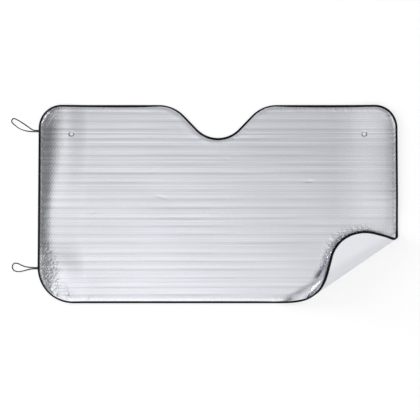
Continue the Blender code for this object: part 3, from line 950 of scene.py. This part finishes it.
def tape_section():
    """The folded tape, anticlockwise as (inside, up), with a round fold and a dip at the seam."""
    fold = [
        (FOLD_DEPTH - FOLD_DEPTH * math.cos(angle), TAPE_TOP / 2 + TAPE_TOP / 2 * math.sin(angle))
        for angle in np.linspace(math.pi / 2, -math.pi / 2, FOLD_POINTS)
    ]
    seam = TAPE_COVER - SEAM_MARGIN
    over = [
        (TAPE_COVER - TIP_ROUND, TAPE_TOP - CROWN),
        (seam + SEAM_HALF_WIDTH, TAPE_TOP),
        (seam, TAPE_TOP - SEAM_DIP),
        (seam - SEAM_HALF_WIDTH, TAPE_TOP),
        (FACE_START, TAPE_TOP + CROWN),
    ]
    under = [(inside, TAPE_TOP - up) for inside, up in reversed(over)]
    tip_under = [(TAPE_COVER, TIP_ROUND), (TAPE_COVER - TIP_SLANT, TAPE_THICKNESS)]
    slot = [(TAPE_THICKNESS, TAPE_THICKNESS), (TAPE_THICKNESS, TAPE_SLOT_TOP)]
    tip_over = [(TAPE_COVER - TIP_SLANT, TAPE_SLOT_TOP), (TAPE_COVER, TAPE_TOP - TIP_ROUND)]
    return np.array([*over, *fold, *under, *tip_under, *slot, *tip_over])


def tape_mesh():
    """The tape swept round the edge: its inner half follows the reach, and it puffs between stitches."""
    spots, inward, places = edge_path(TAPE_STEP)
    section = tape_section()
    rows, columns = len(spots), len(section)
    around = running_length(np.roll(section, -1, axis=0) - section)
    spread = (tape_reach(spots, places) - TAPE_COVER)[:, None]
    puff = field_noise(np.stack([places, places * 0], axis=1), 170, 0, 6.1)[:, None]
    inside = section[:, 0] + np.where(section[:, 0] > INNER_HALF, spread, 0.0)
    outer = (section[:, 1] >= TAPE_TOP - SKIN) | (section[:, 1] <= SKIN)
    up = section[:, 1] + np.where(outer, np.sign(section[:, 1] - TAPE_TOP / 2) * PUFF * puff, 0.0)
    flat = spots[:, None] + inward[:, None] * inside[:, :, None]
    points = laid(flat.reshape(-1, 2), np.maximum(up, 0.0).ravel())
    faces, uvs = [], []
    for row in range(rows):
        after = (row + 1) % rows
        ahead = places[row] + TAPE_STEP
        for column in range(columns):
            beside = (column + 1) % columns
            faces.append((row * columns + column, after * columns + column,
                          after * columns + beside, row * columns + beside))
            uvs += [(places[row], around[column]), (ahead, around[column]),
                    (ahead, around[column + 1]), (places[row], around[column + 1])]
    return points, faces, uvs


binding = new_piece("edge_binding_tape", *tape_mesh())
binding.data.materials.append(dark_cloth("black_tape", WARP_THREADS, WEFT_THREADS, 0.0, WEAVE_RELIEF))
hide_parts("edge_binding")
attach(binding, "root")


# Seam. One row of lockstitch in black thread, run through the tape and both films; each stitch is a
# short raised length of thread that dips into the tape at its ends, on the face and on the back.
STITCH_PITCH = 0.0042
STITCH_LENGTH = 0.0034
THREAD_RADIUS = 0.00028
STITCH_RINGS = 5
STITCH_SIDES = 5
# Painted shade: the twist's grooves are painted darker than its crowns.
TWIST_GROOVE_SHADE = (0.006, 0.006, 0.007, 1)
TWIST_PALE = (0.018, 0.018, 0.020, 1)


def seam_mesh():
    """Every stitch as a short bowed length of thread, along the face and along the back."""
    spots, inward, places = edge_path(STITCH_PITCH)
    ahead = np.stack([inward[:, 1], -inward[:, 0]], axis=1)
    seam_inset = (tape_reach(spots, places) - SEAM_MARGIN)[:, None]
    size = STITCH_RINGS * STITCH_SIDES
    points, faces, uvs = [], [], []
    for level, facing in ((TAPE_TOP - SEAM_DIP, 1.0), (SEAM_DIP + THREAD_RADIUS, -1.0)):
        flats, ups = [], []
        for ring in range(STITCH_RINGS):
            share = ring / (STITCH_RINGS - 1) * 2 - 1
            bow = SEAM_DIP * (1 - 2 * share**2)
            thick = THREAD_RADIUS * (1 - 0.45 * share**4)
            for side in range(STITCH_SIDES):
                angle = 2 * math.pi * side / STITCH_SIDES
                inset = seam_inset + math.cos(angle) * thick
                flats.append(spots + ahead * share * STITCH_LENGTH / 2 + inward * inset)
                ups.append(np.full(len(spots), level + facing * bow + math.sin(angle) * thick))
        base = len(points)
        points += laid(np.stack(flats, axis=1).reshape(-1, 2), np.stack(ups, axis=1).ravel()).tolist()
        for stitch, place in enumerate(places):
            first = base + stitch * size
            for ring in range(STITCH_RINGS - 1):
                for side in range(STITCH_SIDES):
                    near = first + ring * STITCH_SIDES
                    beside = (side + 1) % STITCH_SIDES
                    faces.append((near + side, near + beside,
                                  near + STITCH_SIDES + beside, near + STITCH_SIDES + side))
                    uvs += [(place, side), (place, side + 1),
                            (place + 0.001, side + 1), (place + 0.001, side)]
            for cap in (first, first + size - STITCH_SIDES):
                faces.append(tuple(range(cap, cap + STITCH_SIDES)))
                uvs += [(place, 0)] * STITCH_SIDES
    return points, faces, uvs


def thread_material():
    """Black polyester thread: a tight twist with a faint gloss, and painted shade in the grooves of its
    twist.
    """
    material, shader = new_material("black_thread", (0.009, 0.009, 0.010), 0.5)
    shader.inputs["Specular IOR Level"].default_value = 0.25
    tree = material.node_tree
    place = add_node(tree, "ShaderNodeTexCoord").outputs["Object"]
    twist = add_node(tree, "ShaderNodeTexWave", {"Vector": place, "Scale": 900.0, "Distortion": 1.0})
    bump = add_node(
        tree, "ShaderNodeBump", {"Height": twist.outputs["Fac"], "Strength": 0.4, "Distance": 0.0001}
    )
    tree.links.new(bump.outputs[0], shader.inputs["Normal"])
    # Painted shade: the colour follows the twist's height, so it is darker in its grooves.
    shade = add_node(tree, "ShaderNodeValToRGB", {0: twist.outputs["Fac"]})
    shade.color_ramp.elements[0].color = TWIST_GROOVE_SHADE
    shade.color_ramp.elements[1].color = TWIST_PALE
    tree.links.new(shade.outputs[0], shader.inputs["Base Color"])
    return material


seam = new_piece("binding_seam_thread", *seam_mesh())
seam.data.materials.append(thread_material())
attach(seam, "root")


# Stage. A plain white floor under soft studio light. The foil mirrors the sky: a soft box overhead,
# darker gaps beside it, pale walls low down and a backdrop beyond the top edge. The camera sees plain
# white in its place, and one low lamp at the left gives the shadow.
FLOOR_SIZE = 14.0
FLOOR_DROP = 0.0001
FLOOR_WHITE = 0.54
FLOOR_GLOW = 0.57
LAMP_SIZE = 2.8
LAMP_ENERGY = 155
LAMP_PLACE = (-4.8, 1.6, 1.5)
HORIZON = 0.05
BACKDROP_START = 0.50
BACKDROP_END = 0.80
SKY_REACH = 1.5
SKY_ACROSS = (
    (-1.5, 0.88), (-1.25, 0.72), (-0.82, 0.13), (-0.34, 0.13), (-0.22, 1.00), (-0.08, 1.00), (0.0, 0.86),
    (0.10, 0.68), (0.18, 0.70), (0.30, 0.50), (0.45, 0.30), (0.65, 0.36), (0.90, 1.65), (1.5, 0.92),
)
SKY_ALONG = (
    (-1.5, 0.88), (-1.0, 1.50), (-0.3, 1.36), (-0.12, 1.16), (0.0, 0.96), (0.12, 0.76),
    (0.3, 0.52), (0.7, 0.60), (0.9, 1.05), (1.5, 1.0),
)
SKY_BEYOND = (
    (-1.5, 0.82), (-1.25, 0.66), (-0.5, 0.58), (-0.1, 0.74), (0.05, 0.70), (0.35, 0.34), (0.9, 1.35),
    (1.5, 0.84),
)

bpy.ops.object.select_all(action="DESELECT")
bpy.ops.mesh.primitive_plane_add(size=FLOOR_SIZE, location=(0, 0, -FLOOR_DROP))
floor = bpy.context.object
floor.name = "floor"
floor_paper, floor_shader = new_material("floor_paper", (FLOOR_WHITE,) * 3, 0.9)
floor_shader.inputs["Specular IOR Level"].default_value = 0.0
paper = floor_paper.node_tree
rays = add_node(paper, "ShaderNodeLightPath").outputs
mirrored = maths(paper, "MAXIMUM", rays["Is Glossy Ray"], rays["Is Transmission Ray"])
seen = maths(paper, "MAXIMUM", rays["Is Camera Ray"], mirrored)
glow = add_node(paper, "ShaderNodeEmission", {"Strength": maths(paper, "MULTIPLY", seen, FLOOR_GLOW)})
both = add_node(paper, "ShaderNodeAddShader", {0: floor_shader.outputs[0], 1: glow.outputs[0]})
paper.links.new(both.outputs[0], paper.nodes["Material Output"].inputs["Surface"])
floor.data.materials.append(floor_paper)


def sky_profile(tree, slant, stops):
    """Brightness along one direction of the sky, from the slant of the view and a few levels."""
    share = add_node(
        tree, "ShaderNodeMapRange", {"Value": slant, "From Min": -SKY_REACH, "From Max": SKY_REACH}
    )
    ramp = add_node(tree, "ShaderNodeValToRGB", {0: share.outputs[0]})
    for place, _ in stops[1:-1]:
        ramp.color_ramp.elements.new(place / SKY_REACH / 2 + 0.5)
    for element, (_, level) in zip(ramp.color_ramp.elements, stops):
        element.color = (level, level, level, 1)
    return ramp.outputs[0]


world = bpy.data.worlds.new("studio")
bpy.context.scene.world = world
world.use_nodes = True
sky = world.node_tree
view_line = add_node(sky, "ShaderNodeTexCoord").outputs["Generated"]
toward = add_node(sky, "ShaderNodeSeparateXYZ", {0: view_line})
height = maths(sky, "MAXIMUM", toward.outputs[2], HORIZON)
slants = [maths(sky, "DIVIDE", toward.outputs[axis], height) for axis in (0, 1)]
levels = [sky_profile(sky, *pair) for pair in zip(slants, (SKY_ACROSS, SKY_ALONG))]
overhead = maths(sky, "MULTIPLY", *levels)
beyond = add_node(
    sky, "ShaderNodeMapRange",
    {"Value": slants[1], "From Min": BACKDROP_START, "From Max": BACKDROP_END},
)
backdrop = add_node(
    sky, "ShaderNodeMix", {0: beyond.outputs[0], 2: overhead, 3: sky_profile(sky, slants[0], SKY_BEYOND)}
)
direct = add_node(sky, "ShaderNodeLightPath").outputs["Is Camera Ray"]
behind = add_node(sky, "ShaderNodeMix", {0: direct, 2: backdrop.outputs[0], 3: 1.0})
sky.links.new(behind.outputs[0], sky.nodes["Background"].inputs["Color"])

lamp = bpy.data.objects.new("soft_lamp", bpy.data.lights.new("soft_lamp", "AREA"))
lamp.data.shape = "DISK"
lamp.data.size = LAMP_SIZE
lamp.data.energy = LAMP_ENERGY
lamp.location = LAMP_PLACE
lamp.rotation_euler = (-lamp.location).to_track_quat("-Z", "Y").to_euler()
bpy.context.scene.collection.objects.link(lamp)
